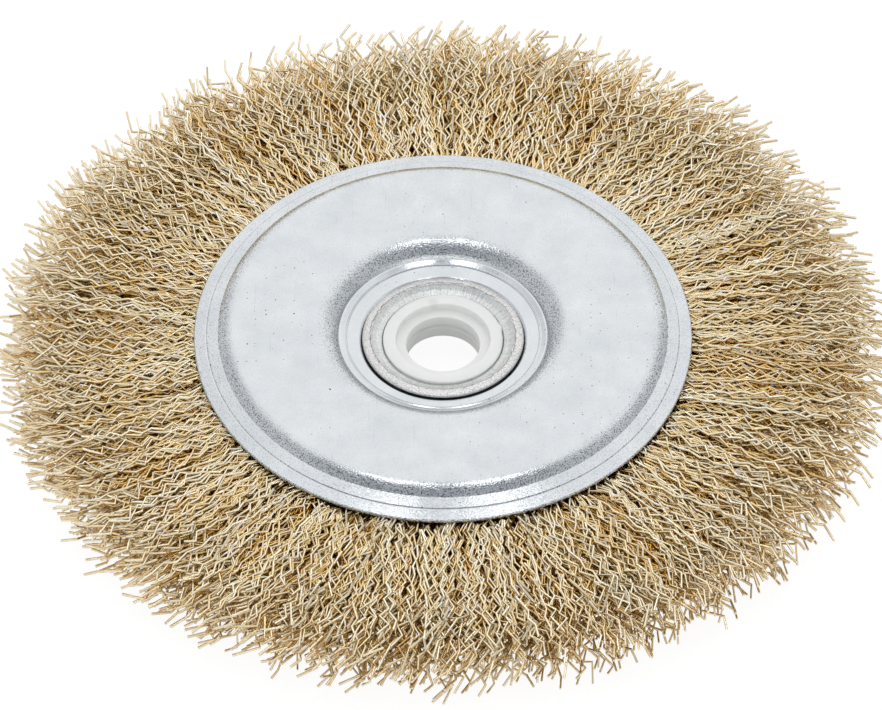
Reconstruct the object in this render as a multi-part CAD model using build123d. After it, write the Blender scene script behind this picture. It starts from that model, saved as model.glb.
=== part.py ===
from build123d import *

import math
import os

# A crimped wire wheel brush for a bench grinder, 150 mm across its wires.
# Two pressed steel side plates grip bundles of crimped wire that are folded
# over a hoop inside the plates' crown. A flared sleeve through a spacer ring
# rivets the plates together at the hub, and a plastic bush pushed in from each
# side takes the sleeve's bore down to the arbor's size.
# Sizes are in millimetres. +Z is the wheel's axis, and z = 0 is the middle
# plane, about which the front and the rear are alike.

# Sizes across the wheel
TIP_DIAMETER = 152.0
PLATE_DIAMETER = 86.0
FLARE_DIAMETER = 27.9
SLEEVE_BORE = 20.0
ARBOR_DIAMETER = 12.7

# Side plate: one pressed sheet, its upper face followed from the rim inwards
SHEET = 0.8
RIM_HEIGHT = 4.4
RIM_BAND_WIDTH = 4.25
RIM_BAND_RISE = 1.4
SHOULDER_WIDTH = 3.75
SHOULDER_RISE = 1.6
HUB_WALL_WIDTH = 5.0
HUB_WALL_DROP = 2.2
LEDGE_WIDTH = 1.5
LEDGE_DROP = 0.3
DISH_WIDTH = 2.4
DISH_DROP = 1.7
SEAT_MARGIN = 0.35
HOLE_CLEARANCE = 0.2

# Hub sleeve: a steel tube with both ends flared over the plates
SLEEVE_WALL = 1.0
FLARE_THICKNESS = 1.0
FLARE_LAND = 0.7
TRUMPET_DEPTH = 2.2
TRUMPET_BEND = 0.75
NECK_CHAMFER = 0.7

# Spacer ring between the plates, round the sleeve
SPACER_WALL = 2.0

# Plastic bush: a lipped ring with a counterbore, one pushed in from each side
BUSH_CLEARANCE = 0.05
BUSH_LIP = 0.4
BUSH_LIP_HEIGHT = 1.0
BUSH_RIM_WALL = 1.8
COUNTERBORE_DEPTH = 1.4
JOINT_CHAMFER = 0.4

# Hoop that the wires are folded over
HOOP_INSET = 4.5
HOOP_THICKNESS = 1.2
HOOP_WIDTH = 5.0

# Wire bundles: each is folded over the hoop and parts into crimped strands,
# which lie in layers on both sides of the middle plane and loosen outwards
BUNDLES = 24
STRANDS = 3
LAYERS = 2
FOLD_THICKNESS = 3.4
FOLD_CORNER = 1.8
WIRE_CLEARANCE = 0.25
BUNDLE_GAP = 0.1
CRIMPS = 5
CRIMP_HEIGHT = 1.6
STRAND_WIDTH = 2.5
STRAND_ROOT = 1.0
STRAND_GATHER = 0.24
LAYER_GAP = 0.2
TIP_FLARE = 0.28
TRIM_STEP = 0.8

# Radii and heights that follow from them
plate_radius = PLATE_DIAMETER / 2
crease_radius = plate_radius - RIM_BAND_WIDTH
crown_outer_radius = crease_radius - SHOULDER_WIDTH
crease_height = RIM_HEIGHT + RIM_BAND_RISE
crown_height = crease_height + SHOULDER_RISE

sleeve_bore_radius = SLEEVE_BORE / 2
sleeve_outer_radius = sleeve_bore_radius + SLEEVE_WALL
flare_radius = FLARE_DIAMETER / 2
plate_hole_radius = sleeve_outer_radius + NECK_CHAMFER + HOLE_CLEARANCE
seat_radius = flare_radius + SEAT_MARGIN
ledge_inner_radius = seat_radius + DISH_WIDTH
ledge_outer_radius = ledge_inner_radius + LEDGE_WIDTH
crown_inner_radius = ledge_outer_radius + HUB_WALL_WIDTH
ledge_outer_height = crown_height - HUB_WALL_DROP
ledge_inner_height = ledge_outer_height - LEDGE_DROP
seat_height = ledge_inner_height - DISH_DROP
flare_height = seat_height + FLARE_THICKNESS
spacer_half_width = seat_height - SHEET

throat_height = flare_height - TRUMPET_DEPTH
trumpet_radius = flare_radius - FLARE_LAND
bend_radius = trumpet_radius - (trumpet_radius - sleeve_bore_radius) * TRUMPET_BEND
bend_height = throat_height + TRUMPET_DEPTH * TRUMPET_BEND
trumpet_slope = (bend_height - throat_height) / (bend_radius - sleeve_bore_radius)

hoop_inner_radius = crown_inner_radius + HOOP_INSET
hoop_outer_radius = hoop_inner_radius + HOOP_THICKNESS

# A bundle's faces are flat, so they keep clear of the round pieces at its sides
bundle_half_angle = 180 / BUNDLES
strand_pitch_angle = 360 / (BUNDLES * STRANDS)
chord = math.cos(math.radians(bundle_half_angle))
tip_radius = TIP_DIAMETER / 2
root_radius = plate_radius * chord
root_height = RIM_HEIGHT - SHEET - WIRE_CLEARANCE
strand_height = root_height / LAYERS - LAYER_GAP
fold_radius = hoop_inner_radius * chord - WIRE_CLEARANCE - FOLD_THICKNESS
fold_height = crown_height - SHEET - WIRE_CLEARANCE


def section(*edges):
    """A closed outline of edges in the XZ plane, filled."""
    return make_face(edges).rotate(Axis.X, 90)


def turned(face):
    """A section turned once round the wheel's axis."""
    return revolve(face, Axis.Z)


def rear(piece):
    """The same piece on the rear of the wheel."""
    return mirror(piece, Plane.XY)


def arc_from_level(level_end, foot):
    """The arc that leaves the level crown at level_end and bends down to foot."""
    run = foot[0] - level_end[0]
    drop = level_end[1] - foot[1]
    radius = (run**2 + drop**2) / (2 * drop)
    half_turn = math.asin(abs(run) / radius) / 2
    middle = (
        level_end[0] + math.copysign(radius * math.sin(half_turn), run),
        level_end[1] - radius * (1 - math.cos(half_turn)),
    )
    return ThreePointArc(level_end, middle, foot)


def side_plate():
    """The front plate: a sloped rim, a raised crown and a dished seat at the hub."""
    rim = (plate_radius, RIM_HEIGHT)
    crease = (crease_radius, crease_height)
    crown_outer = (crown_outer_radius, crown_height)
    crown_inner = (crown_inner_radius, crown_height)
    ledge_outer = (ledge_outer_radius, ledge_outer_height)
    ledge_inner = (ledge_inner_radius, ledge_inner_height)
    seat_outer = (seat_radius, seat_height)
    seat_inner = (plate_hole_radius, seat_height)
    upper_face = Wire(
        [
            Line(rim, crease),
            arc_from_level(crown_outer, crease),
            Line(crown_outer, crown_inner),
            arc_from_level(crown_inner, ledge_outer),
            Line(ledge_outer, ledge_inner),
            Line(ledge_inner, seat_outer),
            Line(seat_outer, seat_inner),
        ]
    )
    sheet = offset(upper_face, SHEET, side=Side.LEFT, kind=Kind.INTERSECTION)
    return turned(section(*sheet.edges()))


def sleeve_half():
    """The front half of the sleeve: its tube opens in a trumpet over the plate."""
    outline = Polyline(
        (sleeve_bore_radius, 0),
        (sleeve_bore_radius, throat_height),
        (bend_radius, bend_height),
        (trumpet_radius, flare_height),
        (flare_radius, flare_height),
        (flare_radius, seat_height),
        (sleeve_outer_radius + NECK_CHAMFER, seat_height),
        (sleeve_outer_radius, seat_height - NECK_CHAMFER),
        (sleeve_outer_radius, 0),
        close=True,
    )
    return turned(section(*outline.edges()))


def flat_ring(inner_radius, outer_radius, half_width):
    """A ring of rectangular section about the middle plane."""
    outline = Polyline(
        (inner_radius, -half_width),
        (outer_radius, -half_width),
        (outer_radius, half_width),
        (inner_radius, half_width),
        close=True,
    )
    return turned(section(*outline.edges()))


def spacer_ring():
    """The ring that holds the plates' seats apart while the sleeve is flared."""
    return flat_ring(plate_hole_radius, plate_hole_radius + SPACER_WALL, spacer_half_width)


def wire_hoop():
    """The flat steel hoop inside the crown that every wire is folded over."""
    return flat_ring(hoop_inner_radius, hoop_outer_radius, HOOP_WIDTH / 2)


def bore_bush():
    """The front bush: its lip rests in the sleeve's trumpet, its foot meets the rear bush."""
    bush_radius = sleeve_bore_radius - BUSH_CLEARANCE
    bore_radius = ARBOR_DIAMETER / 2
    lip_foot = throat_height + BUSH_LIP * trumpet_slope
    lip_top = lip_foot + BUSH_LIP_HEIGHT
    outline = Polyline(
        (bore_radius + JOINT_CHAMFER, 0),
        (bush_radius, 0),
        (bush_radius, throat_height),
        (bush_radius + BUSH_LIP, lip_foot),
        (bush_radius + BUSH_LIP, lip_top),
        (bush_radius - BUSH_RIM_WALL, lip_top),
        (bush_radius - BUSH_RIM_WALL, lip_top - COUNTERBORE_DEPTH),
        (bore_radius, lip_top - COUNTERBORE_DEPTH),
        (bore_radius, JOINT_CHAMFER),
        close=True,
    )
    return turned(section(*outline.edges()))


def bundle_body():
    """The folded part of a bundle: packed solid between the plates, open for the hoop."""
    spread = math.tan(math.radians(bundle_half_angle))
    fold_half_width = fold_radius * spread - BUNDLE_GAP / 2
    root_half_width = root_radius * spread - BUNDLE_GAP / 2
    plan = Polyline(
        (fold_radius, -fold_half_width),
        (root_radius, -root_half_width),
        (root_radius, root_half_width),
        (fold_radius, fold_half_width),
        close=True,
    )
    upper_side = [
        (fold_radius, fold_height - FOLD_CORNER),
        (fold_radius + FOLD_CORNER, fold_height),
        (crown_outer_radius * chord, fold_height),
        (crease_radius * chord, crease_height - SHEET - WIRE_CLEARANCE),
        (root_radius, root_height),
    ]
    lower_side = [(radius, -height) for radius, height in upper_side[::-1]]
    slot_inner = hoop_inner_radius * chord - WIRE_CLEARANCE
    slot_outer = hoop_outer_radius + WIRE_CLEARANCE
    slot_height = HOOP_WIDTH / 2 + WIRE_CLEARANCE
    slot = Polyline(
        (slot_inner, slot_height),
        (slot_inner, -slot_height),
        (slot_outer, -slot_height),
        (crease_radius, 0),
        (slot_outer, slot_height),
        close=True,
    )
    side = section(*Polyline(*upper_side, *lower_side, close=True).edges())
    side -= section(*slot.edges())
    wedge = extrude(make_face(plan), fold_height, both=True)
    return wedge & extrude(side, root_radius, dir=(0, 1, 0), both=True)


def polar(radius, angle, sideways, height):
    """The point at a radius, an angle in degrees and a height, moved sideways."""
    turn = math.radians(angle)
    return Vector(
        radius * math.cos(turn) - sideways * math.sin(turn),
        radius * math.sin(turn) + sideways * math.cos(turn),
        height,
    )


def skin(rings):
    """The flat-faced solid through rings of points that differ in place and scale alone."""
    faces = [make_face(Polyline(*rings[0], close=True)), make_face(Polyline(*rings[-1], close=True))]
    for near, far in zip(rings, rings[1:]):
        for corner in range(len(near)):
            loop = (near[corner - 1], near[corner], far[corner], far[corner - 1])
            faces.append(make_face(Polyline(*loop, close=True)))
    return Solid(Shell([face.face() for face in faces]))


def strand(number, layer, side):
    """One crimped, three-sided strand on side +1 or -1, its ridge facing outwards."""
    floor = LAYER_GAP / 2 + layer * (strand_height + LAYER_GAP)
    stagger = side * (2 * layer + 1) / (4 * LAYERS)
    angle = strand_pitch_angle * (number - (STRANDS - 1) / 2 + stagger)
    length = tip_radius - TRIM_STEP * ((number + layer) % STRANDS) - root_radius
    inner_radius = root_radius - STRAND_ROOT
    inner_shift = -STRAND_GATHER * inner_radius * math.radians(angle)
    stations = [(inner_radius, inner_shift, 1)]
    for bend in range(1, CRIMPS + 1):
        reach = bend / CRIMPS
        sideways = side * (-1) ** (bend + layer) * CRIMP_HEIGHT / 2
        stations.append((root_radius + length * reach, sideways, 1 + TIP_FLARE * reach))
    rings = []
    for radius, sideways, growth in stations:
        half_width = growth * STRAND_WIDTH / 2
        base = side * growth * floor
        ridge = side * growth * (floor + strand_height)
        rings.append(
            [
                polar(radius, angle, sideways - half_width, base),
                polar(radius, angle, sideways + half_width, base),
                polar(radius, angle, sideways, ridge),
            ]
        )
    return skin(rings)


def wire_bundle():
    """A bundle folded over the hoop, with its crimped strands fanned out in layers."""
    bundle = bundle_body()
    for number in range(STRANDS):
        for layer in range(LAYERS):
            bundle += [strand(number, layer, 1), strand(number, layer, -1)]
    return bundle


def save(piece, name):
    """Write one piece to a file of its own."""
    export_step(piece, f"parts/{name}.step")


if __name__ == "__main__":
    os.makedirs("parts", exist_ok=True)
    plate = side_plate()
    save(plate, "front_side_plate")
    save(rear(plate), "rear_side_plate")
    half = sleeve_half()
    save(half + rear(half), "hub_sleeve")
    save(spacer_ring(), "spacer_ring")
    bush = bore_bush()
    save(bush, "front_bore_bush")
    save(rear(bush), "rear_bore_bush")
    save(wire_hoop(), "wire_hoop")
    bundle = wire_bundle()
    for number in range(BUNDLES):
        turned_bundle = bundle.rotate(Axis.Z, number * 360 / BUNDLES)
        save(turned_bundle, f"wire_bundle_{number + 1:02d}")
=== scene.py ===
"""A crimped wire wheel brush, lying on its rear plate on a white table.

Lengths are metres in the CAD frame, and the points of an outline are millimetres until it is turned
into a ring. Z is the arbor's axis, the origin is the middle of the bore, and the camera looks from -Y.
The sections follow the wheel as it is put together.
"""
import math

import bmesh
import bpy
import numpy as np
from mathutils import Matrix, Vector, noise


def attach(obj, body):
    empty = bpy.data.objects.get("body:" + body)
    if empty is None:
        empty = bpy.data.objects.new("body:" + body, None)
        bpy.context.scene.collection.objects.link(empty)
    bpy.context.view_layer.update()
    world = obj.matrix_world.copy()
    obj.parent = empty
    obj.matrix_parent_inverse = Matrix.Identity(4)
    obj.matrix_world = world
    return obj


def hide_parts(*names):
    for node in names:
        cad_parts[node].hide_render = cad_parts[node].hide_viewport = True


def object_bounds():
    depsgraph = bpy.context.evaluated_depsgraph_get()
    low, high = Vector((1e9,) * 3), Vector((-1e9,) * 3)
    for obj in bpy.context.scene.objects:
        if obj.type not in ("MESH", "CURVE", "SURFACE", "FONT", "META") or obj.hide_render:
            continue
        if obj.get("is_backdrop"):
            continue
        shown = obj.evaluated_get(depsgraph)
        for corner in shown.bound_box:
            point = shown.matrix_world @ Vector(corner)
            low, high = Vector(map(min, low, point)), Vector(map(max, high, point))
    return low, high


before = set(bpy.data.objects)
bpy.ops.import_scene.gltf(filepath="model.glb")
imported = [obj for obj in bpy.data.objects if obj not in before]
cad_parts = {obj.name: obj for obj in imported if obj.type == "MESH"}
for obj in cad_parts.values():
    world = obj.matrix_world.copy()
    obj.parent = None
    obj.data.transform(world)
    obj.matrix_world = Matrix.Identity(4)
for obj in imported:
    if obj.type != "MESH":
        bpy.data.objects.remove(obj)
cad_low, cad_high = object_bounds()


# Wire hoop
# A flat steel hoop inside the plates' crown, cut from strip and butted. Every wire is
# folded over it, so it never shows. Its CAD solid has the right shape and is kept.

mm = 0.001


def linear(colour):
    """An sRGB hex colour as linear RGBA."""
    parts = [int(colour[place : place + 2], 16) / 255 for place in (1, 3, 5)]
    linear_parts = [part / 12.92 if part < 0.04045 else ((part + 0.055) / 1.055) ** 2.4 for part in parts]
    return linear_parts + [1.0]


def add(tree, kind, inputs=None, out=0, **settings):
    """Adds a node with its settings and gives one output. An input is a value or another output."""
    node = tree.nodes.new(kind)
    for name, value in settings.items():
        setattr(node, name, value)
    for key, value in (inputs or {}).items():
        if isinstance(value, bpy.types.NodeSocket):
            tree.links.new(value, node.inputs[key])
        else:
            node.inputs[key].default_value = value
    return node.outputs[out] if len(node.outputs) else node


def finish_named(name):
    """A new material and its empty node tree."""
    material = bpy.data.materials.new(name)
    material.use_nodes = True
    material.node_tree.nodes.clear()
    return material, material.node_tree


# Mild steel strip, cold rolled and left bare: dull grey with a fine streak along the rolling.
plain_steel, tree = finish_named("cold rolled steel strip")
place = add(tree, "ShaderNodeTexCoord", out="Object")
fine_across, long_along = 1 / (0.3 * mm), 1 / (8 * mm)
rolled = add(tree, "ShaderNodeMapping", {"Vector": place, "Scale": (fine_across, fine_across, long_along)})
streak = add(tree, "ShaderNodeTexNoise", {"Vector": rolled, "Scale": 1.0, "Detail": 3.0})
grey = add(tree, "ShaderNodeMix", {0: streak, 6: linear("#83868A"), 7: linear("#A9ACAF")},
           out=2, data_type="RGBA")
dull = add(tree, "ShaderNodeMapRange", {"Value": streak, "To Min": 0.34, "To Max": 0.52})
relief = add(tree, "ShaderNodeBump", {"Height": streak, "Strength": 0.5, "Distance": 0.01 * mm})
steel = add(tree, "ShaderNodeBsdfPrincipled",
            {"Base Color": grey, "Roughness": dull, "Normal": relief, "Metallic": 1.0})
add(tree, "ShaderNodeOutputMaterial", {"Surface": steel})
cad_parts["wire_hoop"].data.materials.clear()
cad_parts["wire_hoop"].data.materials.append(plain_steel)


# Wire fill
# Steel wire 0.3 mm thick with a drawn brass coat, crimped in a zigzag, cut to length and folded
# over the hoop. The plates hold it tight at their rim, and from there it fans out to a ragged edge.
# The real wheel has more wires: these are drawn a little thicker, so that each one shows.

WIRE_SECTORS = 8
WIRES_PER_SECTOR = 785
WIRE_BENDS = 15
WIRE_DIAMETER = 0.36 * mm
PROFILE_REACH = 0.66  # from the middle of the square profile to its corner, in diameters
WIDEST = 78.1 * mm
THICKEST = 7.0 * mm

# Drawn brass coat on steel wire: a close reflection, with painted light and shade in its colour: deep gold on
# the wires that lie beneath, in the fill's shade, and pale gold on the wires at the fill's two faces, which
# catch the light. It is silvery where the coat is thin, and paler towards the tips, partly bare steel at the
# cut ends and partly painted light.
brassed_wire, tree = finish_named("brass coated crimped steel wire")
tint = add(tree, "ShaderNodeAttribute", out="Fac", attribute_name="wire_tint_and_painted_light")
reach = add(tree, "ShaderNodeAttribute", out="Fac", attribute_name="wire_reach")
place = add(tree, "ShaderNodeTexCoord", out="Object")
wear = add(tree, "ShaderNodeTexNoise", {"Vector": place, "Scale": 1 / (1.5 * mm), "Detail": 2.0})
# painted light and shade: the tint makes the wires at the fill's faces pale and those beneath deep gold
brass = add(tree, "ShaderNodeMix", {0: tint, 6: linear("#E5B542"), 7: linear("#F3ECD3")},
            out=2, data_type="RGBA")
thin_coat = add(tree, "ShaderNodeMapRange",
                {"Value": wear, "From Min": 0.5, "From Max": 0.68, "To Max": 0.6})
coat = add(tree, "ShaderNodeMix", {0: thin_coat, 6: brass, 7: linear("#F0EDEC")},
           out=2, data_type="RGBA")
# paler towards the tips: partly bare steel at the cut ends, partly painted light that lifts the tips out of
# the fill's shade
cut_end_and_painted_tip_light = add(tree, "ShaderNodeMapRange", {"Value": reach, "From Min": 0.7, "From Max": 1.0, "To Max": 0.6})
coat = add(tree, "ShaderNodeMix", {0: cut_end_and_painted_tip_light, 6: coat, 7: linear("#F3ECD8")}, out=2, data_type="RGBA")
gloss = add(tree, "ShaderNodeMapRange", {"Value": wear, "To Min": 0.18, "To Max": 0.1})
metal = add(tree, "ShaderNodeBsdfPrincipled", {"Base Color": coat, "Roughness": gloss, "Metallic": 1.0})
add(tree, "ShaderNodeOutputMaterial", {"Surface": metal})

tree = bpy.data.node_groups.new("crimped wire fill", "GeometryNodeTree")
tree.interface.new_socket("Geometry", in_out="INPUT", socket_type="NodeSocketGeometry")
tree.interface.new_socket("Geometry", in_out="OUTPUT", socket_type="NodeSocketGeometry")
wire_inputs = {}
for name, kind, value in (
    ("Wires", "Int", WIRES_PER_SECTOR),
    ("Bends", "Int", WIRE_BENDS),
    ("First Angle", "Float", 0.0),
    ("Sector Angle", "Float", 2 * math.pi / WIRE_SECTORS),
    ("First Number", "Int", 0),
    ("Profile Radius", "Float", WIRE_DIAMETER * PROFILE_REACH),
    ("Root Radius", "Float", 40.0 * mm),
    ("Root Spread", "Float", 0.9 * mm),
    ("Root Tufts", "Float", 6.0 * mm),
    ("Tip Radius", "Float", 80.6 * mm),
    ("Tip Spread", "Float", 13.5 * mm),
    ("Tip Hollows", "Float", 5.0 * mm),
    ("Edge Crown", "Float", 2.8 * mm),
    ("Half Width", "Float", 78.0 * mm),
    ("Width Spread", "Float", 1.2 * mm),
    ("Root Level", "Float", 3.3 * mm),
    ("Tip Level", "Float", 3.5 * mm),
    ("Crimp Height", "Float", 0.8 * mm),
    ("Lean", "Float", 0.36),
    ("Curl", "Float", 4.0 * mm),
    ("Bow", "Float", 1.2 * mm),
    ("Fray", "Float", 0.45 * mm),
    ("Tuft Sway", "Float", 10.0 * mm),
    ("Tuft Lift", "Float", 3.0 * mm),
    ("Tufts Round", "Float", 14.0),
):
    socket = tree.interface.new_socket(name, in_out="INPUT", socket_type="NodeSocket" + kind)
    socket.default_value = value
    wire_inputs[name] = socket.identifier
given = tree.nodes.new("NodeGroupInput").outputs

# every wire starts as one straight line with its bends marked on it
line = add(tree, "GeometryNodeCurvePrimitiveLine", {"End": (1.0, 0.0, 0.0)})
bends = add(tree, "GeometryNodeResampleCurve", {"Curve": line, "Count": given["Bends"]})
copies = add(tree, "GeometryNodeDuplicateElements", {"Geometry": bends, "Amount": given["Wires"]},
             domain="SPLINE")
number = copies.node.outputs["Duplicate Index"]
along = add(tree, "GeometryNodeSplineParameter", out="Factor")
bend = along.node.outputs["Index"]

# what is drawn once for a wire, and what is drawn again at each of its bends
wire = add(tree, "ShaderNodeMath", {0: number, 1: given["First Number"]}, operation="ADD")
point = add(tree, "GeometryNodeInputIndex")
point = add(tree, "ShaderNodeMath", {0: given["First Number"], 1: 100.0, 2: point},
            operation="MULTIPLY_ADD")
draw = {}
for seed, (name, low, high, who) in enumerate((
    ("place", 0.0, 1.0, wire),
    ("level", -1.0, 1.0, wire),
    ("lean", -1.0, 1.0, wire),
    ("tip", 0.0, 1.0, wire),
    ("root", -1.0, 1.0, wire),
    ("plane", -0.5, 0.5, wire),
    ("tint", 0.0, 1.0, wire),
    ("height", 0.3, 1.4, point),
    ("shift", -0.3, 0.3, point),
    ("bow", -1.0, 1.0, wire),
    ("strength", 0.5, 1.1, wire),
    ("curl", -1.0, 1.0, wire),
    ("fray", -1.0, 1.0, point),
    ("rise", -1.0, 1.0, point),
)):
    draw[name] = add(tree, "FunctionNodeRandomValue", {2: low, 3: high, "ID": who, "Seed": seed},
                     out=1, data_type="FLOAT")

# where a wire stands round the wheel, and in which layer: most lie near the two faces
pitch = add(tree, "ShaderNodeMath", {0: given["Sector Angle"], 1: given["Wires"]}, operation="DIVIDE")
turn = add(tree, "ShaderNodeMath", {0: number, 1: draw["place"]}, operation="ADD")
turn = add(tree, "ShaderNodeMath", {0: turn, 1: pitch, 2: given["First Angle"]}, operation="MULTIPLY_ADD")
across = add(tree, "ShaderNodeMath", {0: turn}, operation="COSINE")
ahead = add(tree, "ShaderNodeMath", {0: turn}, operation="SINE")
away = add(tree, "ShaderNodeMath", {0: draw["level"]}, operation="ABSOLUTE")
away = add(tree, "ShaderNodeMath", {0: away, 1: 0.62}, operation="POWER")
way = add(tree, "ShaderNodeMath", {0: draw["level"]}, operation="SIGN")
layer = add(tree, "ShaderNodeMath", {0: away, 1: way}, operation="MULTIPLY")

# wires near each other sway and lift together, more towards their tips, which makes the tufts
ring = add(tree, "ShaderNodeCombineXYZ", {0: across, 1: ahead, 2: 0.0})
ring = add(tree, "ShaderNodeVectorMath", {0: ring, "Scale": given["Tufts Round"]}, operation="SCALE")
stacked = add(tree, "ShaderNodeMath", {0: layer, 1: 0.6}, operation="MULTIPLY")
stacked = add(tree, "ShaderNodeCombineXYZ", {0: 0.0, 1: 0.0, 2: stacked})
spot = add(tree, "ShaderNodeVectorMath", {0: ring, 1: stacked}, operation="ADD")
tuft = add(tree, "ShaderNodeTexNoise", {"Vector": spot, "Scale": 1.0, "Detail": 2.0}, out="Color")
tuft = add(tree, "ShaderNodeVectorMath", {0: tuft, 1: (0.5, 0.5, 0.5)}, operation="SUBTRACT")
tuft = add(tree, "ShaderNodeSeparateXYZ", {0: tuft}).node.outputs
fine = add(tree, "ShaderNodeVectorMath", {0: spot, "Scale": 1.5}, operation="SCALE")
nest = add(tree, "ShaderNodeTexNoise", {"Vector": fine, "Scale": 1.0, "Detail": 1.0}, out="Color")
nest = add(tree, "ShaderNodeVectorMath", {0: nest, 1: (0.5, 0.5, 0.5)}, operation="SUBTRACT")
nest = add(tree, "ShaderNodeSeparateXYZ", {0: nest}).node.outputs
loose = add(tree, "ShaderNodeMath", {0: along, 1: 1.6}, operation="POWER")
sway = add(tree, "ShaderNodeMath", {0: tuft[0], 1: given["Tuft Sway"]}, operation="MULTIPLY")
sway = add(tree, "ShaderNodeMath", {0: sway, 1: loose}, operation="MULTIPLY")
lift = add(tree, "ShaderNodeMath", {0: tuft[1], 1: given["Tuft Lift"]}, operation="MULTIPLY")
lift = add(tree, "ShaderNodeMath", {0: lift, 1: loose}, operation="MULTIPLY")

# how much shorter than the longest a wire is cut: at random, at the outer layers, and in hollows
short = add(tree, "ShaderNodeMath", {0: draw["tip"], 1: 0.7}, operation="POWER")
short = add(tree, "ShaderNodeMath", {0: short, 1: given["Tip Spread"]}, operation="MULTIPLY")
outer = add(tree, "ShaderNodeMath", {0: layer, 1: layer}, operation="MULTIPLY")
short = add(tree, "ShaderNodeMath", {0: outer, 1: given["Edge Crown"], 2: short}, operation="MULTIPLY_ADD")
hollow = add(tree, "ShaderNodeMath", {0: tuft[2], 1: 0.25}, operation="ADD")
hollow = add(tree, "ShaderNodeMath", {0: hollow, 1: 0.0}, operation="MAXIMUM")
short = add(tree, "ShaderNodeMath", {0: hollow, 1: given["Tip Hollows"], 2: short},
            operation="MULTIPLY_ADD")
tip = add(tree, "ShaderNodeMath", {0: given["Tip Radius"], 1: short}, operation="SUBTRACT")

# no wire reaches past the square that the wheel has to fit in
across = add(tree, "ShaderNodeMath", {0: across}, operation="ABSOLUTE")
ahead = add(tree, "ShaderNodeMath", {0: ahead}, operation="ABSOLUTE")
square = add(tree, "ShaderNodeMath", {0: across, 1: ahead}, operation="MAXIMUM")
trimmed = add(tree, "ShaderNodeMath", {0: draw["tip"], 1: given["Width Spread"]}, operation="MULTIPLY")
limit = add(tree, "ShaderNodeMath", {0: given["Half Width"], 1: trimmed}, operation="SUBTRACT")
limit = add(tree, "ShaderNodeMath", {0: limit, 1: square}, operation="DIVIDE")
tip = add(tree, "ShaderNodeMath", {0: tip, 1: limit}, operation="MINIMUM")

# the bends stand unevenly spaced between the root and the tip
root = add(tree, "ShaderNodeMath", {0: draw["root"], 1: given["Root Spread"], 2: given["Root Radius"]},
           operation="MULTIPLY_ADD")
root = add(tree, "ShaderNodeMath", {0: nest[0], 1: given["Root Tufts"], 2: root}, operation="MULTIPLY_ADD")
gap = add(tree, "ShaderNodeMath", {0: given["Bends"], 1: 1.0}, operation="SUBTRACT")
shift = add(tree, "ShaderNodeMath", {0: draw["shift"], 1: gap}, operation="DIVIDE")
inner_bend = add(tree, "ShaderNodeMath", {0: along, 1: 0.99}, operation="LESS_THAN")
step = add(tree, "ShaderNodeMath", {0: shift, 1: inner_bend, 2: along}, operation="MULTIPLY_ADD")
radius = add(tree, "ShaderNodeMapRange", {"Value": step, "To Min": root, "To Max": tip}, clamp=False)

# each bend leans to the other side of the one before it, in the wire's own crimp plane
side = add(tree, "ShaderNodeMath", {0: bend, 1: 2.0}, operation="MODULO")
side = add(tree, "ShaderNodeMath", {0: side, 1: 2.0, 2: -1.0}, operation="MULTIPLY_ADD")
crimp = add(tree, "ShaderNodeMath", {0: side, 1: draw["height"]}, operation="MULTIPLY")
crimp = add(tree, "ShaderNodeMath", {0: crimp, 1: given["Crimp Height"]}, operation="MULTIPLY")
crimp = add(tree, "ShaderNodeMath", {0: crimp, 1: draw["strength"]}, operation="MULTIPLY")
free = add(tree, "ShaderNodeMath", {0: loose, 1: 0.5, 2: 0.85}, operation="MULTIPLY_ADD")
crimp = add(tree, "ShaderNodeMath", {0: crimp, 1: free}, operation="MULTIPLY")
plane = add(tree, "ShaderNodeMath", {0: nest[1], 1: 4.0, 2: draw["plane"]}, operation="MULTIPLY_ADD")
flat = add(tree, "ShaderNodeMath", {0: plane}, operation="COSINE")
steep = add(tree, "ShaderNodeMath", {0: plane}, operation="SINE")
crimp_flat = add(tree, "ShaderNodeMath", {0: crimp, 1: flat}, operation="MULTIPLY")
crimp_steep = add(tree, "ShaderNodeMath", {0: crimp, 1: steep}, operation="MULTIPLY")

# sideways a wire leans from its root, sways with its tuft, curls and frays
lean = add(tree, "ShaderNodeMath", {0: draw["lean"], 1: given["Lean"]}, operation="MULTIPLY")
out_from_root = add(tree, "ShaderNodeMath", {0: radius, 1: root}, operation="SUBTRACT")
sideways = add(tree, "ShaderNodeMath", {0: lean, 1: out_from_root, 2: sway}, operation="MULTIPLY_ADD")
curl = add(tree, "ShaderNodeMath", {0: draw["curl"], 1: loose}, operation="MULTIPLY")
curl = add(tree, "ShaderNodeMath", {0: curl, 1: along}, operation="MULTIPLY")
sideways = add(tree, "ShaderNodeMath", {0: curl, 1: given["Curl"], 2: sideways}, operation="MULTIPLY_ADD")
sideways = add(tree, "ShaderNodeMath", {0: sideways, 1: crimp_flat}, operation="ADD")
fray = add(tree, "ShaderNodeMath", {0: draw["fray"], 1: loose}, operation="MULTIPLY")
sideways = add(tree, "ShaderNodeMath", {0: fray, 1: given["Fray"], 2: sideways}, operation="MULTIPLY_ADD")

# upwards it keeps to its layer, lifts with its tuft, bows and frays
room = add(tree, "ShaderNodeMapRange",
           {"Value": along, "To Min": given["Root Level"], "To Max": given["Tip Level"]})
level = add(tree, "ShaderNodeMath", {0: layer, 1: room, 2: lift}, operation="MULTIPLY_ADD")
bow = add(tree, "ShaderNodeMath", {0: draw["bow"], 1: loose}, operation="MULTIPLY")
level = add(tree, "ShaderNodeMath", {0: bow, 1: given["Bow"], 2: level}, operation="MULTIPLY_ADD")
level = add(tree, "ShaderNodeMath", {0: level, 1: crimp_steep}, operation="ADD")
rise = add(tree, "ShaderNodeMath", {0: draw["rise"], 1: loose}, operation="MULTIPLY")
level = add(tree, "ShaderNodeMath", {0: rise, 1: given["Fray"], 2: level}, operation="MULTIPLY_ADD")

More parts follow.
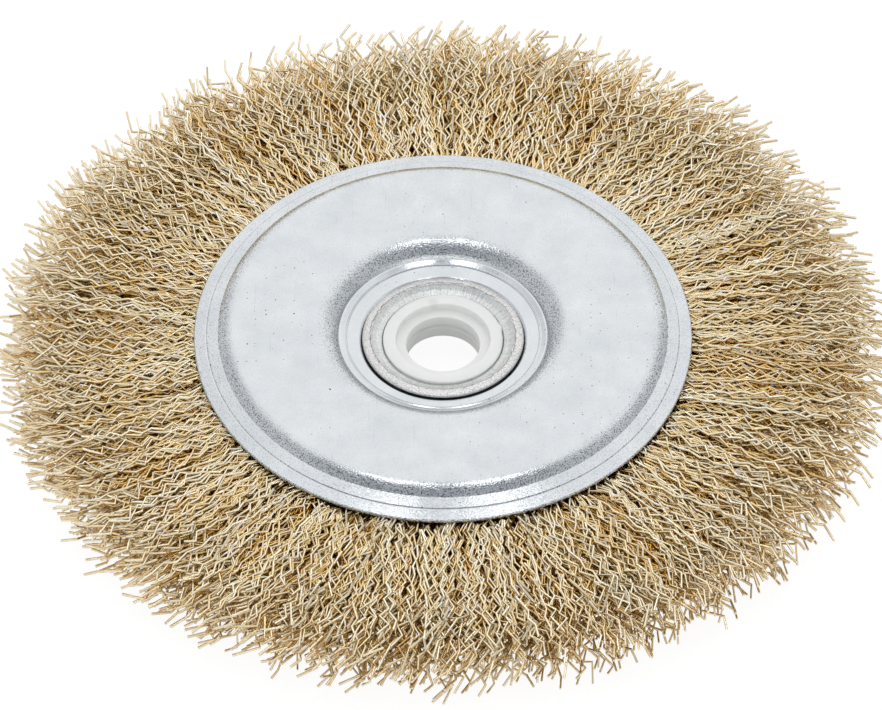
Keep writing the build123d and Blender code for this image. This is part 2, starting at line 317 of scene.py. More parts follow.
# a bend that stands aside comes in, so that it keeps its radius
reached = add(tree, "ShaderNodeMath", {0: radius, 1: radius}, operation="MULTIPLY")
aside = add(tree, "ShaderNodeMath", {0: sideways, 1: sideways}, operation="MULTIPLY")
reached = add(tree, "ShaderNodeMath", {0: reached, 1: aside}, operation="SUBTRACT")
reached = add(tree, "ShaderNodeMath", {0: reached}, operation="SQRT")
spot = add(tree, "ShaderNodeCombineXYZ", {0: reached, 1: sideways, 2: level})
spot = add(tree, "ShaderNodeVectorRotate", {"Vector": spot, "Angle": turn}, rotation_type="Z_AXIS")
spot = add(tree, "ShaderNodeVectorMath", {0: spot, 1: (WIDEST, WIDEST, THICKEST)}, operation="MINIMUM")
spot = add(tree, "ShaderNodeVectorMath", {0: spot, 1: (-WIDEST, -WIDEST, -THICKEST)}, operation="MAXIMUM")
lines = add(tree, "GeometryNodeSetPosition", {"Geometry": copies, "Position": spot})

# painted light and shade: the wires at the fill's faces, which catch the light, are painted palest and those
# beneath deep gold, over a random tint
pale = add(tree, "ShaderNodeMath", {0: draw["tint"], 1: 0.3}, operation="MULTIPLY")
painted_outer_light = add(tree, "ShaderNodeMath", {0: away, 1: 3.5}, operation="POWER")
pale = add(tree, "ShaderNodeMath", {0: painted_outer_light, 1: 0.7, 2: pale}, operation="MULTIPLY_ADD")
for name, value in (("wire_tint_and_painted_light", pale), ("wire_reach", along), ("wire_bend", bend)):
    lines = add(tree, "GeometryNodeStoreNamedAttribute", {"Geometry": lines, "Name": name, "Value": value},
                data_type="FLOAT", domain="POINT")

# a square profile lies flat side up, smooth along each run and sharp where two runs meet
lines = add(tree, "GeometryNodeSetCurveNormal", {"Curve": lines}, mode="Z_UP")
lines = add(tree, "GeometryNodeSetCurveTilt", {"Curve": lines, "Tilt": math.pi / 4})
drawn = add(tree, "GeometryNodeCurvePrimitiveCircle", {"Resolution": 4, "Radius": given["Profile Radius"]})
body = add(tree, "GeometryNodeCurveToMesh", {"Curve": lines, "Profile Curve": drawn, "Fill Caps": True})
body = add(tree, "GeometryNodeSetShadeSmooth", {"Geometry": body})
on_ring = add(tree, "GeometryNodeInputNamedAttribute", {"Name": "wire_bend"}, data_type="FLOAT")
on_ring = add(tree, "ShaderNodeMath", {0: on_ring}, operation="FRACT")
on_ring = add(tree, "ShaderNodeMath", {0: on_ring, 1: 0.25}, operation="LESS_THAN")
body = add(tree, "GeometryNodeSetShadeSmooth",
           {"Geometry": body, "Selection": on_ring, "Shade Smooth": False}, domain="EDGE")
body = add(tree, "GeometryNodeRealizeInstances", {"Geometry": body})
body = add(tree, "GeometryNodeSetMaterial", {"Geometry": body, "Material": brassed_wire})
add(tree, "NodeGroupOutput", {"Geometry": body})
wire_tree = tree

BUNDLES = 24
BUNDLES_PER_SECTOR = BUNDLES // WIRE_SECTORS
BUNDLE_ANGLE = 2 * math.pi / BUNDLES
for sector in range(WIRE_SECTORS):
    piece = bpy.data.objects.new(f"wire_fill_{sector + 1}", bpy.data.meshes.new("wire fill"))
    bpy.context.scene.collection.objects.link(piece)
    growing = piece.modifiers.new("wires", "NODES")
    growing.node_group = wire_tree
    first_bundle = sector * BUNDLES_PER_SECTOR
    growing[wire_inputs["First Angle"]] = BUNDLE_ANGLE * (first_bundle - 0.5)
    growing[wire_inputs["First Number"]] = sector * WIRES_PER_SECTOR
    bpy.context.view_layer.update()
    grown = piece.evaluated_get(bpy.context.evaluated_depsgraph_get())
    piece.data = bpy.data.meshes.new_from_object(grown)
    piece.modifiers.clear()
    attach(piece, "root")
    bundles = range(first_bundle + 1, first_bundle + BUNDLES_PER_SECTOR + 1)
    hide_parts(*[f"wire_bundle_{bundle:02d}" for bundle in bundles])


# Packed wire roots
# The same wires between the plates, pressed so tight over the hoop that they fill the whole hollow. Only
# their outer face is ever seen, as the ground behind the wires at the rim, dark from shade and from painted
# shade in its colour.

def rounded(corners, turn_step=12.0, run_step=3.0, short_run=0.6, hold=0.04):
    """A closed outline with an arc of each corner's own radius. Corners are (radius, height, arc) in mm.

    A run longer than short_run gets a point close to each end, which keeps it flat when it is shaded.
    """
    outline = []
    for place, (across, up, arc) in enumerate(corners):
        here = Vector((across, up))
        back = Vector(corners[place - 1][:2]) - here
        ahead = Vector(corners[(place + 1) % len(corners)][:2]) - here
        bend = math.pi - back.angle(ahead)
        reach = min(arc * math.tan(bend / 2), back.length * 0.49, ahead.length * 0.49)
        if bend < 0.02 or reach < 1e-6:
            outline.append(here)
            continue
        true_arc = reach / math.tan(bend / 2)
        start = here + back.normalized() * reach
        end = here + ahead.normalized() * reach
        middle = here + (back.normalized() + ahead.normalized()).normalized() * true_arc / math.cos(bend / 2)
        steps = max(1, math.ceil(math.degrees(bend) / turn_step))
        for step in range(steps + 1):
            share = step / steps
            from_start, from_end = math.sin((1 - share) * bend), math.sin(share * bend)
            spoke = ((start - middle) * from_start + (end - middle) * from_end) / math.sin(bend)
            outline.append(middle + spoke)
    filled = []
    for place, here in enumerate(outline):
        filled.append(tuple(here))
        run = outline[(place + 1) % len(outline)] - here
        if run.length > short_run:
            count = math.ceil(run.length / run_step)
            between = [each / count for each in range(1, count)]
            stops = [hold / run.length] + between + [1 - hold / run.length]
            filled.extend(tuple(here + run * stop) for stop in stops)
    return filled


def lathe(name, outline, steps, material, stray=None):
    """A closed ring: an outline of (radius, height) points in mm turned round Z.

    Where stray is given, it says how far each point wanders off the outline at each turn.
    """
    rings = np.array(outline) * mm
    turns = np.arange(steps) * 2 * math.pi / steps
    places = np.empty((steps, len(rings), 3))
    for row, turn in enumerate(turns):
        shape = rings if stray is None else rings + np.array([stray(*point, turn) for point in outline]) * mm
        places[row] = np.c_[shape[:, 0] * math.cos(turn), shape[:, 0] * math.sin(turn), shape[:, 1]]
    mesh = bpy.data.meshes.new(name)
    here = np.arange(steps * len(rings)).reshape(steps, len(rings))
    beside, above = np.roll(here, -1, 0), np.roll(here, -1, 1)
    both = np.roll(beside, -1, 1)
    faces = np.stack([here, beside, both, above], -1).reshape(-1, 4)
    mesh.from_pydata(places.reshape(-1, 3).tolist(), [], faces.tolist())
    work = bmesh.new()
    work.from_mesh(mesh)
    bmesh.ops.recalc_face_normals(work, faces=work.faces)
    work.to_mesh(mesh)
    work.free()
    mesh.polygons.foreach_set("use_smooth", [True] * len(mesh.polygons))
    mesh.materials.append(material)
    piece = bpy.data.objects.new(name, mesh)
    bpy.context.scene.collection.objects.link(piece)
    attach(piece, "root")
    return piece


# The same brass coat seen as one mass: the wires' ends and flanks as fine radial streaks, drawn coarser than
# single wires so that they show. Its colour is painted darker than the loose wires, with dark streaks of
# painted shade for the gaps between them.
packed_wire, tree = finish_named("packed brass coated wire")
place = add(tree, "ShaderNodeTexCoord", out="Object")
rays = add(tree, "ShaderNodeVectorMath", {0: place}, operation="NORMALIZE")
streak = add(tree, "ShaderNodeTexNoise", {"Vector": rays, "Scale": 120.0, "Detail": 2.0})
# painted shade: the dark end of this mix is the shade in the gaps between packed wires
gold = add(tree, "ShaderNodeMix", {0: streak, 6: linear("#6B4F1C"), 7: linear("#D8BE86")},
           out=2, data_type="RGBA")
relief = add(tree, "ShaderNodeBump", {"Height": streak, "Strength": 1.0, "Distance": 0.3 * mm})
metal = add(tree, "ShaderNodeBsdfPrincipled",
            {"Base Color": gold, "Normal": relief, "Metallic": 1.0, "Roughness": 0.45})
add(tree, "ShaderNodeOutputMaterial", {"Surface": metal})

ROOT_STEPS = 120
roots = [(29.2, 6.1, 0.5), (35.0, 6.1, 1.0), (38.3, 4.7, 0.5), (41.2, 3.3, 0.5)]
roots += [(across, -up, arc) for across, up, arc in reversed(roots)]
packed = lathe("packed_wire_roots", rounded(roots), ROOT_STEPS, packed_wire)


# Spacer ring
# A turned steel ring between the plates' seats, slipped over the sleeve. It is hidden once the
# sleeve is flared, so its CAD solid is kept and takes the same bare steel as the hoop.

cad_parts["spacer_ring"].data.materials.clear()
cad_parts["spacer_ring"].data.materials.append(plain_steel)


# Side plates
# Two alike dishes pressed from 0.8 mm steel sheet and then zinc plated, one each side of the
# wires. A score line runs round the rim, and the hub is drawn down to a seat for the sleeve.

PLATE_STEPS = 200
SHEET = 0.8
HOLE_RADIUS = 11.9
SEAT_LEVEL = 3.2
HUB_RADIUS = 18.2
CROWN_INNER_RADIUS = 23.2
CROWN_OUTER_RADIUS = 35.0
CROWN_LEVEL = 7.4
SHOULDER_FOOT = (38.75, 5.8)
PLATE_RADIUS = 43.0

# Bright electroplated zinc: pale grey, a clear soft reflection on the flats, and a fine sparkle where the
# pressed sheet bends, partly a grain in the relief and partly painted reflection in the colour. Its crystals
# are drawn coarser than the real ones, to show.
zinc, tree = finish_named("bright zinc plated sheet")
place = add(tree, "ShaderNodeTexCoord", out="Object")
film = add(tree, "ShaderNodeTexNoise",
           {"Vector": place, "Scale": 1 / (7 * mm), "Detail": 4.0, "Roughness": 0.6})
colour = add(tree, "ShaderNodeMix", {0: film, 6: linear("#B9BEC2"), 7: linear("#DBDEE1")},
             out=2, data_type="RGBA")

# the sparkle is strongest where the sheet leans most, and calm on the ledge round the hub: a grain in the
# relief, and dark specks painted into the colour as the grain's dark glints
grain = add(tree, "ShaderNodeTexNoise", {"Vector": place, "Scale": 1 / (0.22 * mm), "Detail": 0.5})
facing = add(tree, "ShaderNodeSeparateXYZ", {0: add(tree, "ShaderNodeTexCoord", out="Normal")}, out=2)
facing = add(tree, "ShaderNodeMath", {0: facing}, operation="ABSOLUTE")
bent = add(tree, "ShaderNodeMapRange",
           {"Value": facing, "From Min": 0.985, "From Max": 0.86, "To Min": 0.08, "To Max": 1.0})
off_hub = add(tree, "ShaderNodeVectorMath", {0: place, 1: (1.0, 1.0, 0.0)}, operation="MULTIPLY")
off_hub = add(tree, "ShaderNodeVectorMath", {0: off_hub}, out="Value", operation="LENGTH")
off_hub = add(tree, "ShaderNodeMapRange",
              {"Value": off_hub, "From Min": 17.9 * mm, "From Max": 18.4 * mm, "To Min": 0.25, "To Max": 1.0})
bent = add(tree, "ShaderNodeMath", {0: bent, 1: off_hub}, operation="MULTIPLY")
# painted reflection: dark specks in the colour, where the sheet leans, stand for the dark glints of its grain
grain_speck_and_painted_glint = add(tree, "ShaderNodeMapRange",
            {"Value": grain, "From Min": 0.37, "From Max": 0.47, "To Min": 0.75, "To Max": 0.0})
grain_speck_and_painted_glint = add(tree, "ShaderNodeMath", {0: grain_speck_and_painted_glint, 1: bent}, operation="MULTIPLY")
colour = add(tree, "ShaderNodeMix", {0: grain_speck_and_painted_glint, 6: colour, 7: linear("#585C60")},
             out=2, data_type="RGBA")

# small pits stay from the bath, thickest in a few patches and in one cluster on the crown's left
cells = add(tree, "ShaderNodeTexVoronoi", {"Vector": place, "Scale": 1 / (1.6 * mm)}, out="Distance",
            voronoi_dimensions="2D")
chance = add(tree, "ShaderNodeSeparateColor", {"Color": cells.node.outputs["Color"]}).node.outputs
patch = add(tree, "ShaderNodeTexNoise", {"Vector": place, "Scale": 1 / (16 * mm), "Detail": 1.0})
patch = add(tree, "ShaderNodeMapRange", {"Value": patch, "From Min": 0.47, "From Max": 0.6, "To Max": 0.75})
cluster = add(tree, "ShaderNodeVectorMath", {0: place, 1: (-29 * mm, -1 * mm, CROWN_LEVEL * mm)},
              out="Value", operation="DISTANCE")
cluster = add(tree, "ShaderNodeMapRange",
              {"Value": cluster, "From Min": 6 * mm, "From Max": 10 * mm, "To Min": 1.0, "To Max": 0.0})
patch = add(tree, "ShaderNodeMath", {0: patch, 1: cluster}, operation="MAXIMUM")
size = add(tree, "ShaderNodeMapRange", {"Value": chance[0], "From Min": 0.5, "To Max": 0.095})
size = add(tree, "ShaderNodeMath", {0: size, 1: patch}, operation="MULTIPLY")
mark = add(tree, "ShaderNodeMath", {0: cells, 1: size}, operation="LESS_THAN")

# two larger dark nicks, by their place and width in mm
for across, ahead, wide in ((-19.4, -15.2, 0.34), (37.4, 15.05, 0.42)):
    off = add(tree, "ShaderNodeVectorMath", {0: place, 1: (across * mm, ahead * mm, 6.6 * mm)},
              operation="SUBTRACT")
    off = add(tree, "ShaderNodeVectorMath", {0: off, 1: (1.0, 1.0, 0.2)}, operation="MULTIPLY")
    off = add(tree, "ShaderNodeVectorMath", {0: off}, out="Value", operation="LENGTH")
    ragged = add(tree, "ShaderNodeTexNoise", {"Vector": place, "Scale": 1 / (0.3 * mm), "Detail": 1.0})
    edge = add(tree, "ShaderNodeMath", {0: ragged, 1: 1.3 * wide * mm}, operation="MULTIPLY")
    nick = add(tree, "ShaderNodeMath", {0: off, 1: edge}, operation="LESS_THAN")
    mark = add(tree, "ShaderNodeMath", {0: mark, 1: nick}, operation="MAXIMUM")

# faint scuffs in two directions, by their angle and their width and length in mm
scuffs = []
for angle, wide, long in ((0.6, 0.35, 9.0), (2.3, 0.3, 6.0)):
    drawn_out = (1 / (wide * mm), 1 / (long * mm), 1 / (20 * mm))
    laid = add(tree, "ShaderNodeMapping",
               {"Vector": place, "Rotation": (0.0, 0.0, angle), "Scale": drawn_out})
    scuff = add(tree, "ShaderNodeTexNoise", {"Vector": laid, "Scale": 1.0, "Detail": 1.0})
    scuffs.append(add(tree, "ShaderNodeMapRange", {"Value": scuff, "From Min": 0.73, "From Max": 0.82}))
scuff = add(tree, "ShaderNodeMath", {0: scuffs[0], 1: scuffs[1]}, operation="MAXIMUM")
dirty = add(tree, "ShaderNodeMath", {0: scuff, 1: 0.14}, operation="MULTIPLY")
dirty = add(tree, "ShaderNodeMath", {0: mark, 1: 0.85, 2: dirty}, operation="MULTIPLY_ADD", use_clamp=True)
colour = add(tree, "ShaderNodeMix", {0: dirty, 6: colour, 7: linear("#33363A")},
             out=2, data_type="RGBA")

# the sheet is a little wavy, and the plating a little cloudy
wave = add(tree, "ShaderNodeTexNoise", {"Vector": place, "Scale": 1 / (4.5 * mm), "Detail": 1.0})
gloss = add(tree, "ShaderNodeMapRange",
            {"Value": film, "From Min": 0.3, "From Max": 0.7, "To Min": 0.13, "To Max": 0.2})
gloss = add(tree, "ShaderNodeMath", {0: dirty, 1: 0.4, 2: gloss}, operation="MULTIPLY_ADD")
relief = add(tree, "ShaderNodeBump", {"Height": wave, "Strength": 1.0, "Distance": 0.035 * mm})
relief = add(tree, "ShaderNodeBump",
             {"Height": grain, "Normal": relief, "Strength": bent, "Distance": 0.05 * mm})
metal = add(tree, "ShaderNodeBsdfPrincipled",
            {"Base Color": colour, "Roughness": gloss, "Normal": relief, "Metallic": 1.0})
add(tree, "ShaderNodeOutputMaterial", {"Surface": metal})


def bend_down(level_end, foot, steps):
    """Points in mm on the arc that leaves the level crown at level_end and ends at foot."""
    run, drop = foot[0] - level_end[0], level_end[1] - foot[1]
    radius = (run**2 + drop**2) / (2 * drop)
    whole = math.asin(abs(run) / radius)
    points = []
    for step in range(steps + 1):
        angle = whole * step / steps
        across = level_end[0] + math.copysign(radius * math.sin(angle), run)
        points.append((across, level_end[1] - radius * (1 - math.cos(angle)), 0.0))
    return points


# the sheet's outside from the hole to the edge, then its inside back to the hole
seat = [(HOLE_RADIUS, SEAT_LEVEL, 0.1), (13.4, SEAT_LEVEL, 0.3), (14.1, 3.62, 0.2)]
ledge = [(14.5, 3.84, 0.3), (16.5, 4.38, 0.12), (16.72, 4.54, 0.1), (16.96, 4.42, 0.12),
         (17.76, 4.78, 0.15), (17.98, 4.78, 0.08)]
hub_wall = bend_down((CROWN_INNER_RADIUS, CROWN_LEVEL), (HUB_RADIUS, 5.2), 14)[::-1]
shoulder = bend_down((CROWN_OUTER_RADIUS, CROWN_LEVEL), SHOULDER_FOOT, 12)[:-1] + [(*SHOULDER_FOOT, 0.12)]
score_line = [(40.62, 5.18, 0.06), (40.8, 5.03, 0.03), (40.98, 5.07, 0.06)]
rim = [(PLATE_RADIUS, 4.4, 0.3), (PLATE_RADIUS - 0.25, 3.64, 0.2)]
outside = seat + ledge + hub_wall + shoulder + score_line + rim
inside = [(38.45, 5.02, 0.8), (37.6, 5.75, 1.0), (36.3, 6.42, 1.0),
          (CROWN_OUTER_RADIUS, CROWN_LEVEL - SHEET, 1.0), (CROWN_INNER_RADIUS, CROWN_LEVEL - SHEET, 1.0),
          (21.4, 6.3, 1.0), (18.8, 4.72, 0.6), (16.9, 4.15, 0.6),
          (14.55, SEAT_LEVEL - SHEET, 0.6), (HOLE_RADIUS, SEAT_LEVEL - SHEET, 0.1)]
front_outline = rounded(outside + inside)
rear_outline = [(across, -up) for across, up in front_outline]
front_plate = lathe("front_plate", front_outline, PLATE_STEPS, zinc)
rear_plate = lathe("rear_plate", rear_outline, PLATE_STEPS, zinc)
for piece, node in ((front_plate, "front_side_plate"), (rear_plate, "rear_side_plate")):
    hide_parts(node)


# Hub sleeve
# A steel tube pushed through both plates and the spacer. A punch opens its ends into trumpets
# and rolls them over the seats, which draws fine radial lines and leaves a torn inner edge.

SLEEVE_STEPS = 192
SLEEVE_BORE_RADIUS = 10.0
FLARE_RADIUS = 13.95
FLARE_LEVEL = 4.5
TORN_RADIUS = 12.4
TORN_DEPTH = 0.13
TEARS_ROUND = 14

# Zinc plated steel worked after plating: warm grey, duller than the plates, the trumpet streaked
# along the metal's flow, the rolled band round it covered in a fine crackle.
flared_steel, tree = finish_named("flared zinc plated tube")
place = add(tree, "ShaderNodeTexCoord", out="Object")
parts = add(tree, "ShaderNodeSeparateXYZ", {0: place}).node.outputs
flat_place = add(tree, "ShaderNodeCombineXYZ", {0: parts[0], 1: parts[1], 2: 0.0})
reach = add(tree, "ShaderNodeVectorMath", {0: flat_place}, out="Value", operation="LENGTH")
ray = add(tree, "ShaderNodeVectorMath", {0: flat_place}, operation="NORMALIZE")
ray = add(tree, "ShaderNodeVectorMath", {0: ray, "Scale": 150.0}, operation="SCALE")
depth = add(tree, "ShaderNodeMath", {0: parts[2], 1: 1 / (2.5 * mm)}, operation="MULTIPLY")
drawn = add(tree, "ShaderNodeCombineXYZ", {0: 0.0, 1: 0.0, 2: depth})
ray = add(tree, "ShaderNodeVectorMath", {0: ray, 1: drawn}, operation="ADD")
streak = add(tree, "ShaderNodeTexNoise", {"Vector": ray, "Scale": 1.0, "Detail": 3.0, "Roughness": 0.6})
crackle = add(tree, "ShaderNodeTexNoise", {"Vector": place, "Scale": 1 / (0.22 * mm), "Detail": 1.0})
on_band = add(tree, "ShaderNodeMapRange", {"Value": reach, "From Min": 12.2 * mm, "From Max": 12.5 * mm})
mixed = add(tree, "ShaderNodeMapRange", {"Value": on_band, "To Min": 0.45})
texture = add(tree, "ShaderNodeMix", {0: mixed, 2: streak, 3: crackle}, data_type="FLOAT")
warm = add(tree, "ShaderNodeMix", {0: on_band, 6: linear("#E3E5E3"), 7: linear("#E0DEDD")},
           out=2, data_type="RGBA")
dark = add(tree, "ShaderNodeMapRange", {"Value": texture, "From Min": 0.38, "From Max": 0.55})
warm = add(tree, "ShaderNodeMix", {0: dark, 6: linear("#B4B6B5"), 7: warm}, out=2, data_type="RGBA")

# a thin dark line wanders where the trumpet's edge is torn
rag = add(tree, "ShaderNodeTexNoise", {"Vector": place, "Scale": 1 / (0.6 * mm), "Detail": 2.0})
torn = add(tree, "ShaderNodeMath", {0: rag, 1: 0.7 * mm, 2: (TORN_RADIUS - 0.2) * mm},
           operation="MULTIPLY_ADD")
torn = add(tree, "ShaderNodeMath", {0: reach, 1: torn}, operation="SUBTRACT")
torn = add(tree, "ShaderNodeMath", {0: torn}, operation="ABSOLUTE")
torn = add(tree, "ShaderNodeMapRange",
           {"Value": torn, "From Min": 0.03 * mm, "From Max": 0.12 * mm, "To Min": 0.75, "To Max": 0.0})
warm = add(tree, "ShaderNodeMix", {0: torn, 6: warm, 7: linear("#6B6060")}, out=2, data_type="RGBA")
gloss = add(tree, "ShaderNodeMapRange", {"Value": texture, "To Min": 0.5, "To Max": 0.34})
relief = add(tree, "ShaderNodeBump", {"Height": texture, "Strength": 0.8, "Distance": 0.025 * mm})
metal = add(tree, "ShaderNodeBsdfPrincipled",
            {"Base Color": warm, "Roughness": gloss, "Normal": relief, "Metallic": 1.0})
add(tree, "ShaderNodeOutputMaterial", {"Surface": metal})


def torn_edge(across, up, turn):
    """The trumpet's outer edge wanders by a tenth of a millimetre where the metal has torn."""
    if abs(across - TORN_RADIUS) < 0.16 and abs(up) > 4.0:
        tear = noise.noise(Vector((math.cos(turn), math.sin(turn), 0.3)) * TEARS_ROUND)
        return tear * TORN_DEPTH, 0.0
    return 0.0, 0.0


trumpet = [(SLEEVE_BORE_RADIUS, 2.0, 0.5), (10.38, 2.95, 0.2), (10.5, 3.42, 0.25), (11.5, 3.84, 1.2),
           (12.2, 4.27, 0.8), (12.38, 4.44, 0.1)]
band = [(12.62, FLARE_LEVEL, 0.2), (13.3, 4.36, 0.8), (13.82, 4.16, 0.3), (FLARE_RADIUS, 3.9, 0.12)]
underside = [(13.15, 3.25, 0.2), (11.7, SEAT_LEVEL, 0.1), (11.0, 2.5, 0.1)]
half_sleeve = trumpet + band + underside
whole_sleeve = half_sleeve + [(across, -up, arc) for across, up, arc in reversed(half_sleeve)]
sleeve = lathe("flared_sleeve", rounded(whole_sleeve), SLEEVE_STEPS, flared_steel, torn_edge)
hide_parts("hub_sleeve")


# Bore bushes
# Two alike rings moulded in off-white nylon. Each is pushed into the sleeve until its lip rests in
# the trumpet, and their feet meet in the middle, which shows as a faint line round the bore.

BUSH_STEPS = 144
BORE_RADIUS = 6.35
COUNTERBORE_RADIUS = 8.15
COUNTERBORE_LEVEL = 2.41
FOOT_RADIUS = 9.95
FOOT_GAP = 0.02
LIP_RADIUS = 10.35
LIP_LEVEL = 3.81
NICK_TURN = 16

# Moulded nylon, a little see-through: warm white, satin, with faint flow marks from the mould and
# a greyish spot where it was gated.
nylon, tree = finish_named("moulded off-white nylon")
place = add(tree, "ShaderNodeTexCoord", out="Object")
flow = add(tree, "ShaderNodeTexNoise", {"Vector": place, "Scale": 1 / (3 * mm), "Detail": 2.0})
white = add(tree, "ShaderNodeMix", {0: flow, 6: linear("#EAEAE7"), 7: linear("#F3F3F1")},
            out=2, data_type="RGBA")
gate = add(tree, "ShaderNodeVectorMath", {0: place, 1: (-1.7 * mm, 8.6 * mm, 3.4 * mm)},
           out="Value", operation="DISTANCE")
gate = add(tree, "ShaderNodeMapRange",
           {"Value": gate, "From Min": 0.5 * mm, "From Max": 1.2 * mm, "To Min": 0.3, "To Max": 0.0})
white = add(tree, "ShaderNodeMix", {0: gate, 6: white, 7: linear("#B4B4B0")}, out=2, data_type="RGBA")
gloss = add(tree, "ShaderNodeMapRange", {"Value": flow, "To Min": 0.36, "To Max": 0.5})
satin = add(tree, "ShaderNodeTexNoise", {"Vector": place, "Scale": 1 / (0.25 * mm), "Detail": 1.0})
relief = add(tree, "ShaderNodeBump", {"Height": satin, "Strength": 0.6, "Distance": 0.01 * mm})
plastic = add(tree, "ShaderNodeBsdfPrincipled",
              {"Base Color": white, "Roughness": gloss, "Normal": relief, "IOR": 1.53,
               "Subsurface Weight": 0.45, "Subsurface Radius": (1.0, 0.97, 0.94),
               "Subsurface Scale": 2.5 * mm})
add(tree, "ShaderNodeOutputMaterial", {"Surface": plastic})


def mould_marks(across, up, turn):
    """A raised nick on the lip at NICK_TURN degrees, and three slight flats round it."""
    if across < 10.2 or abs(up) < 2.6:
        return 0.0, 0.0
    nick = math.exp(-(((math.degrees(turn) - NICK_TURN) / 3.2) ** 2)) * 0.24
    flats = -0.07 * (1 + math.sin(3 * turn + 0.8)) / 2
    return nick + flats, 0.0


foot = [(6.75, FOOT_GAP, 0.05), (FOOT_RADIUS, FOOT_GAP, 0.05), (FOOT_RADIUS, 2.0, 0.2)]
lip = [(LIP_RADIUS, 2.81, 0.15), (LIP_RADIUS, LIP_LEVEL, 0.18), (COUNTERBORE_RADIUS, LIP_LEVEL, 0.15)]
bore = [(COUNTERBORE_RADIUS, COUNTERBORE_LEVEL, 0.2), (BORE_RADIUS, COUNTERBORE_LEVEL, 0.12),
        (BORE_RADIUS, 0.4, 0.1)]
front_outline = rounded(foot + lip + bore)
rear_outline = [(across, -up) for across, up in front_outline]
front_bush = lathe("front_bush", front_outline, BUSH_STEPS, nylon, mould_marks)
rear_bush = lathe("rear_bush", rear_outline, BUSH_STEPS, nylon, mould_marks)
for piece, node in ((front_bush, "front_bore_bush"), (rear_bush, "rear_bore_bush")):
    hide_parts(node)


# White table
# A smooth white board that the wheel lies on. Rays from the camera and from gloss see it as plain
# white with a faint shadow, and it throws light back up as matt white paint does.

TABLE_HALF = 12.0

board, tree = finish_named("matt white board")
path = add(tree, "ShaderNodeLightPath").node.outputs
seen = add(tree, "ShaderNodeMath", {0: path["Is Camera Ray"], 1: path["Is Glossy Ray"]}, operation="MAXIMUM")
seen = add(tree, "ShaderNodeMath", {0: seen, 1: path["Is Transmission Ray"]}, operation="MAXIMUM")
matt = add(tree, "ShaderNodeBsdfDiffuse", {"Color": linear("#E8E8E8")})
shaded = add(tree, "ShaderNodeBsdfDiffuse", {"Color": linear("#707070")})
plain_white = add(tree, "ShaderNodeEmission", {"Color": linear("#FFFFFF"), "Strength": 0.9})
pale = add(tree, "ShaderNodeAddShader", {0: shaded, 1: plain_white})
top = add(tree, "ShaderNodeMixShader", {0: seen, 1: matt, 2: pale})
add(tree, "ShaderNodeOutputMaterial", {"Surface": top})
mesh = bpy.data.meshes.new("table")
corners = [(-1, -1), (1, -1), (1, 1), (-1, 1)]
places = [(across * TABLE_HALF, ahead * TABLE_HALF, cad_low.z) for across, ahead in corners]
mesh.from_pydata(places, [], [(0, 1, 2, 3)])
mesh.materials.append(board)
table = bpy.data.objects.new("white_table", mesh)
bpy.context.scene.collection.objects.link(table)
table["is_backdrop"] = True


# Studio room and lamps
# The room is white all round. It turns grey high up on the camera's side, which draws the dark bands
# on the plates' bends, and a little grey left and right. Two small soft lamps hang nearly overhead.

world = bpy.data.worlds.new("studio room")
world.use_nodes = True
world.node_tree.nodes.clear()
bpy.context.scene.world = world
tree = world.node_tree
toward = add(tree, "ShaderNodeTexCoord", out="Generated")
ways = add(tree, "ShaderNodeSeparateXYZ", {0: toward}).node.outputs
beside = add(tree, "ShaderNodeMath", {0: ways[0]}, operation="ABSOLUTE")
soft = {"interpolation_type": "SMOOTHSTEP"}
high = add(tree, "ShaderNodeMapRange", {"Value": ways[2], "From Min": 0.42, "From Max": 0.62}, **soft)
near = add(tree, "ShaderNodeMapRange", {"Value": ways[1], "From Min": 0.22, "From Max": -0.15}, **soft)
middle = add(tree, "ShaderNodeMapRange", {"Value": beside, "From Min": 0.8, "From Max": 0.5}, **soft)
dark = add(tree, "ShaderNodeMath", {0: high, 1: near}, operation="MULTIPLY")
dark = add(tree, "ShaderNodeMath", {0: dark, 1: middle}, operation="MULTIPLY")
left = add(tree, "ShaderNodeMapRange",
           {"Value": ways[0], "From Min": -0.36, "From Max": -0.68, "To Max": 0.6}, **soft)
right = add(tree, "ShaderNodeMapRange",
            {"Value": ways[0], "From Min": 0.5, "From Max": 0.8, "To Max": 0.7}, **soft)
sides = add(tree, "ShaderNodeMath", {0: left, 1: right}, operation="MAXIMUM")
tone = add(tree, "ShaderNodeMix", {0: sides, 6: linear("#FFFFFF"), 7: linear("#B4B6B8")},
           out=2, data_type="RGBA")
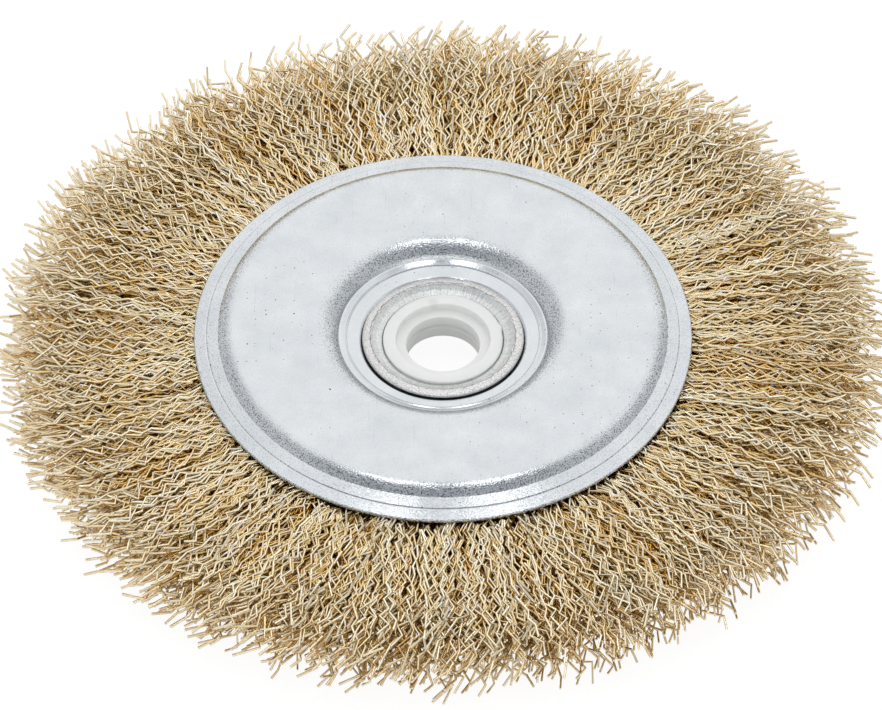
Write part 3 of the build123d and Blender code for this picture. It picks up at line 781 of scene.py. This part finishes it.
tone = add(tree, "ShaderNodeMix", {0: dark, 6: tone, 7: linear("#ABAEB2")}, out=2, data_type="RGBA")
room = add(tree, "ShaderNodeBackground", {"Color": tone, "Strength": 1.235})
white = add(tree, "ShaderNodeBackground", {"Color": linear("#FFFFFF"), "Strength": 1.0})
path = add(tree, "ShaderNodeLightPath", out="Is Camera Ray")
both = add(tree, "ShaderNodeMixShader", {0: path, 1: room, 2: white})
add(tree, "ShaderNodeOutputWorld", {"Surface": both})

LAMP_WIDTH = 0.2
LAMP_DEPTH = 0.15
LAMP_POWER = 0.5
LAMP_HEIGHT = 1.2
for name, across, ahead in (("left_overhead_lamp", -0.19, -0.075), ("right_overhead_lamp", 0.2, -0.06)):
    lamp = bpy.data.lights.new(name, "AREA")
    lamp.shape = "RECTANGLE"
    lamp.size = LAMP_WIDTH
    lamp.size_y = LAMP_DEPTH
    lamp.energy = LAMP_POWER
    hung = bpy.data.objects.new(name, lamp)
    hung.location = (across, ahead, LAMP_HEIGHT)
    hung.rotation_euler = (-hung.location).to_track_quat("-Z", "Y").to_euler()
    bpy.context.scene.collection.objects.link(hung)

# the camera stands far off with a long lens, as the photo's nearly even ellipses show
CAMERA_DISTANCE = 3.0
CAMERA_ELEVATION = math.radians(47.3)
CAMERA_LENS = 710.2
LOOK_LEFT = 0.345 * mm
LOOK_DOWN = 0.26 * mm
back = Vector((0.0, -math.cos(CAMERA_ELEVATION), math.sin(CAMERA_ELEVATION)))
upward = Vector((0.0, math.sin(CAMERA_ELEVATION), math.cos(CAMERA_ELEVATION)))
lens = bpy.data.cameras.new("camera")
lens.lens = CAMERA_LENS
lens.clip_start = 0.1
lens.clip_end = 60.0
camera = bpy.data.objects.new("camera", lens)
camera.location = back * CAMERA_DISTANCE + Vector((-LOOK_LEFT, 0.0, 0.0)) - upward * LOOK_DOWN
camera.rotation_euler = (-back).to_track_quat("-Z", "Y").to_euler()
bpy.context.scene.collection.objects.link(camera)
bpy.context.scene.camera = camera
bpy.context.scene.view_settings.view_transform = "Standard"

low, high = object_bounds()
